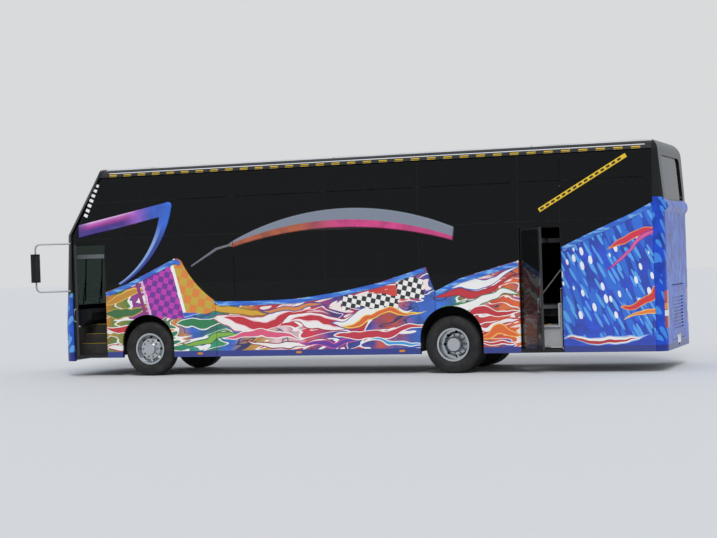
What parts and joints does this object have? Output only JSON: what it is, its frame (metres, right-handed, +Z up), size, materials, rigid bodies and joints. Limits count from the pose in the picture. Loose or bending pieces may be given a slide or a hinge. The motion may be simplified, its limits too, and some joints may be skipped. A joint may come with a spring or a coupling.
{
  "type": "double-deck touring coach",
  "caption": "Twelve metre double-deck touring coach with hinged doors, steered front wheels, twin rear wheels, mirrors, seats, stairs and an opening engine lid.",
  "frame": {"origin": "on the ground under the middle of the coach, on its centre line", "axes": "+X forwards, +Y to the coach's left, +Z up"},
  "size_m": [12.448, 3.4523, 4.1],
  "materials": {
    "painted_panel": "gloss",
    "black_body": "gloss",
    "tinted_glass": "gloss",
    "clear_glass": "gloss",
    "lamp_glass": "gloss",
    "red_lamp": "gloss",
    "frame_steel": "satin",
    "cast_steel": "satin",
    "rim_metal": "satin",
    "tyre": "matte",
    "floor": "matte",
    "seat_cloth": "matte",
    "dark_plastic": "matte",
    "chrome": "polished",
    "mirror_face": "mirror",
    "rubber": "matte"
  },
  "bodies": {
    "coach": {"front_mask": "painted_panel", "front_bumper": "painted_panel", "headlamps": "lamp_glass", "windscreen_lower": "tinted_glass", "windscreen_upper": "tinted_glass", "rear_window": "tinted_glass", "rear_wall": "painted_panel", "tail_lamps": "red_lamp", "roof": "painted_panel", "side_wall_left": "black_body", "side_wall_right": "black_body", "side_panels_left": "painted_panel", "side_panels_right": "painted_panel", "mouldings_left": "painted_panel", "mouldings_right": "painted_panel", "side_glass_left": "tinted_glass", "side_glass_right": "tinted_glass", "luggage_tray": "frame_steel", "wheel_housings": "frame_steel", "lower_floor": "floor", "upper_floor": "floor", "rear_stairs": "floor", "front_stairs": "floor", "chassis": "frame_steel", "engine": "cast_steel", "front_axle": "cast_steel", "rear_axle": "cast_steel", "air_springs": "rubber", "spring_beams": "frame_steel", "upper_seats": "seat_cloth", "lower_seats": "seat_cloth", "driver_seat": "seat_cloth", "fascia": "dark_plastic", "steering_wheel": "dark_plastic", "mirrors": "chrome", "mirror_glasses": "mirror_face", "wipers": "dark_plastic"},
    "front_door_leaf": {"front_door": "black_body", "front_door_glass": "tinted_glass"},
    "rear_door_leaf": {"rear_door": "black_body", "rear_door_glass": "tinted_glass"},
    "emergency_leaf": {"emergency_door": "painted_panel", "emergency_door_glass": "tinted_glass"},
    "luggage_flap_leaf": {"luggage_flap": "painted_panel"},
    "engine_lid_leaf": {"engine_lid": "painted_panel"},
    "left_knuckle": {"knuckle_left": "cast_steel"},
    "right_knuckle": {"knuckle_right": "cast_steel"},
    "tie_rod_bar": {"tie_rod": "cast_steel"},
    "front_left_wheel": {"front_tyre_left": "tyre", "front_rim_left": "rim_metal"},
    "front_right_wheel": {"front_tyre_right": "tyre", "front_rim_right": "rim_metal"},
    "rear_left_wheels": {"rear_tyres_left": "tyre", "rear_rims_left": "rim_metal"},
    "rear_right_wheels": {"rear_tyres_right": "tyre", "rear_rims_right": "rim_metal"}
  },
  "joints": [
    {"name": "front_door_hinge", "type": "hinge", "parent": "coach", "child": "front_door_leaf", "pos_m": [5.499, 1.197, 1.5], "axis": [0, 0, -1], "range_deg": [-60, 25]},
    {"name": "rear_door_hinge", "type": "hinge", "parent": "coach", "child": "rear_door_leaf", "pos_m": [-3.581, 1.197, 1.5], "axis": [0, 0, -1], "range_deg": [-47, 38]},
    {"name": "emergency_hinge", "type": "hinge", "parent": "coach", "child": "emergency_leaf", "pos_m": [-0.031, -1.197, 1.4], "axis": [0, 0, 1], "range_deg": [0, 85]},
    {"name": "luggage_flap_hinge", "type": "hinge", "parent": "coach", "child": "luggage_flap_leaf", "pos_m": [-4.53, -1.225, 1.417], "axis": [-1, 0, 0], "range_deg": [0, 85]},
    {"name": "engine_lid_hinge", "type": "hinge", "parent": "coach", "child": "engine_lid_leaf", "pos_m": [-6.125, 0, 1.467], "axis": [0, 1, 0], "range_deg": [0, 80]},
    {"name": "steer_left", "type": "hinge", "parent": "coach", "child": "left_knuckle", "pos_m": [3.92, 0.86, 0.522], "axis": [0, 0, 1], "range_deg": [-38, 38]},
    {"name": "steer_right", "type": "hinge", "parent": "coach", "child": "right_knuckle", "pos_m": [3.92, -0.86, 0.522], "axis": [0, 0, 1], "range_deg": [-38, 38]},
    {"name": "tie_rod_pivot", "type": "hinge", "parent": "left_knuckle", "child": "tie_rod_bar", "pos_m": [3.71, 0.86, 0.377], "axis": [0, 0, 1], "range_deg": [-38, 38]},
    {"name": "front_left_spin", "type": "hinge", "parent": "left_knuckle", "child": "front_left_wheel", "pos_m": [3.92, 1.062, 0.522], "axis": [0, 1, 0], "continuous": true},
    {"name": "front_right_spin", "type": "hinge", "parent": "right_knuckle", "child": "front_right_wheel", "pos_m": [3.92, -1.062, 0.522], "axis": [0, 1, 0], "continuous": true},
    {"name": "rear_left_spin", "type": "hinge", "parent": "coach", "child": "rear_left_wheels", "pos_m": [-2.25, 0.897, 0.522], "axis": [0, 1, 0], "continuous": true},
    {"name": "rear_right_spin", "type": "hinge", "parent": "coach", "child": "rear_right_wheels", "pos_m": [-2.25, -0.897, 0.522], "axis": [0, 1, 0], "continuous": true}
  ],
  "couplings": [
    {"joint": "steer_right", "follows": "steer_left", "ratio": 1},
    {"joint": "tie_rod_pivot", "follows": "steer_left", "ratio": -1}
  ]
}
